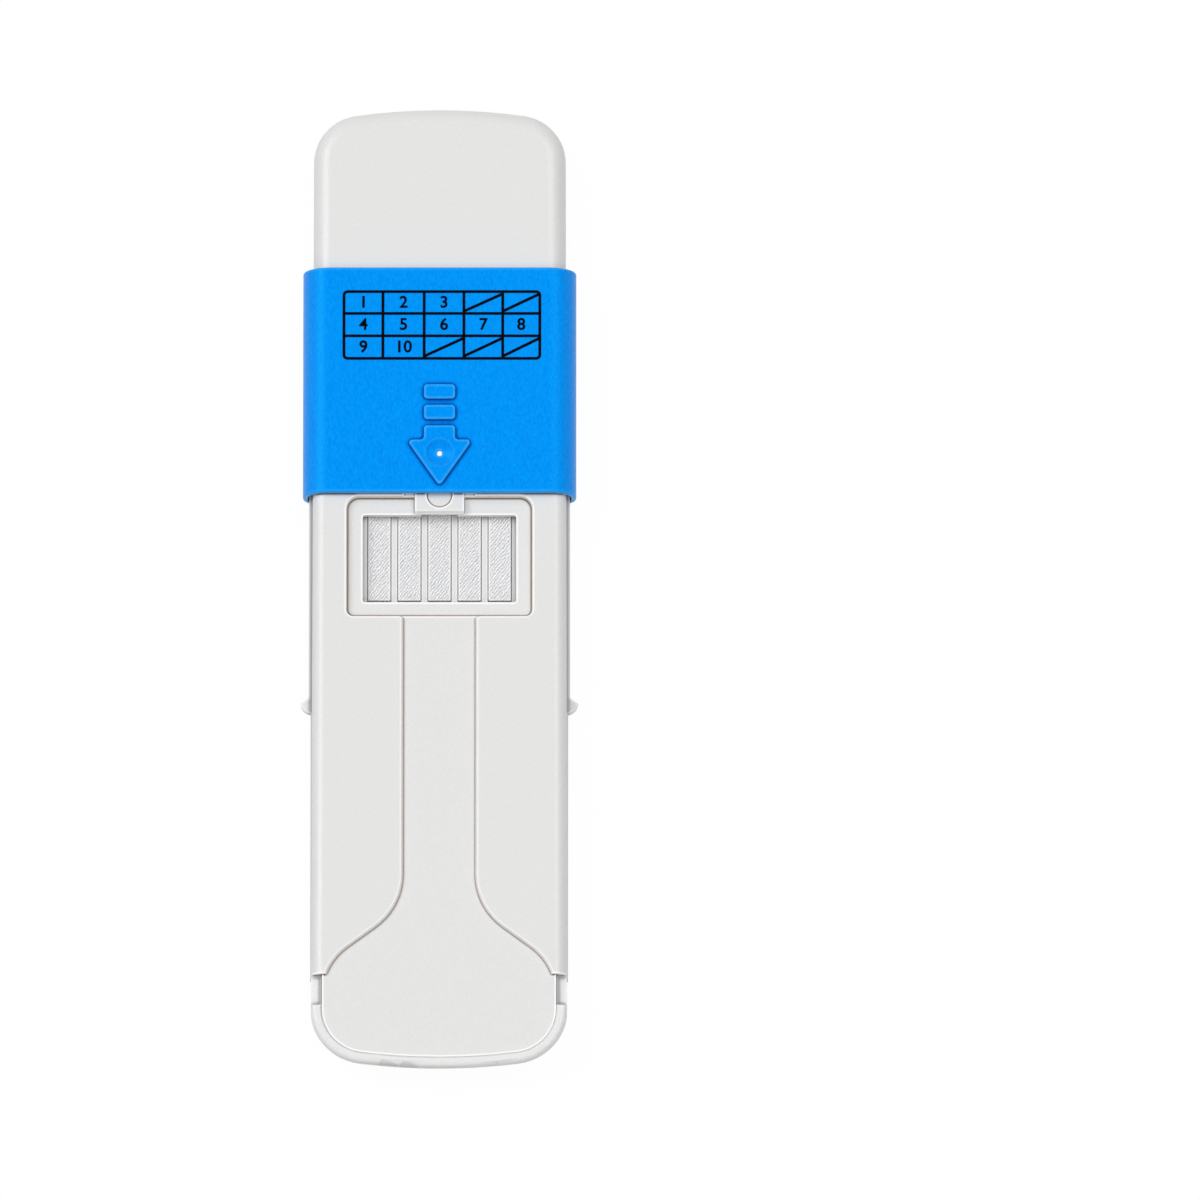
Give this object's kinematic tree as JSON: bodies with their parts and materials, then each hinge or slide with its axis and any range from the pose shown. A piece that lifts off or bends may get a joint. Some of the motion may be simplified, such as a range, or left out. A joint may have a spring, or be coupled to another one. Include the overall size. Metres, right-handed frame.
{
  "type": "lateral flow cassette",
  "caption": "Long flat white test cassette with parallel test strips in a sample window, a collector channel and flared seat, and a blue sleeve that slides along it.",
  "frame": {"origin": "under the middle of the cassette's length and width, on the plane that the sleeve's underside rests on", "axes": "+Y along the cassette towards its plain upper end, +X across to the right as seen from the face, +Z out of the face with the sample window"},
  "size_m": [0.0444, 0.158, 0.0104],
  "materials": {
    "white_shell": "white high impact polystyrene, fine spark eroded moulding grain",
    "white_cover": "white high impact polystyrene, fine spark eroded moulding grain",
    "blue_sleeve": "bright blue moulded ABS, fine grain, black pad print on its face",
    "backing_film": "white polystyrene backing film",
    "sample_fibre": "white cellulose fibre pad",
    "conjugate_fibre": "glass fibre pad, faint pink with dried reagent",
    "membrane": "white nitrocellulose membrane",
    "absorbent_fibre": "white cotton linter absorbent pad"
  },
  "bodies": {
    "cassette": {"base_shell": "white_shell", "front_cover": "white_cover", "strip_1_backing_card": "backing_film", "strip_1_sample_pad": "sample_fibre", "strip_1_conjugate_pad": "conjugate_fibre", "strip_1_membrane": "membrane", "strip_1_absorbent_pad": "absorbent_fibre", "strip_2_backing_card": "backing_film", "strip_2_sample_pad": "sample_fibre", "strip_2_conjugate_pad": "conjugate_fibre", "strip_2_membrane": "membrane", "strip_2_absorbent_pad": "absorbent_fibre", "strip_3_backing_card": "backing_film", "strip_3_sample_pad": "sample_fibre", "strip_3_conjugate_pad": "conjugate_fibre", "strip_3_membrane": "membrane", "strip_3_absorbent_pad": "absorbent_fibre", "strip_4_backing_card": "backing_film", "strip_4_sample_pad": "sample_fibre", "strip_4_conjugate_pad": "conjugate_fibre", "strip_4_membrane": "membrane", "strip_4_absorbent_pad": "absorbent_fibre", "strip_5_backing_card": "backing_film", "strip_5_sample_pad": "sample_fibre", "strip_5_conjugate_pad": "conjugate_fibre", "strip_5_membrane": "membrane", "strip_5_absorbent_pad": "absorbent_fibre"},
    "sleeve": {"slide_sleeve": "blue_sleeve"}
  },
  "joints": [
    {"name": "sleeve_slide", "type": "slide", "parent": "cassette", "child": "sleeve", "axis": [0, -1, 0], "range_m": [0, 0.0325]}
  ]
}
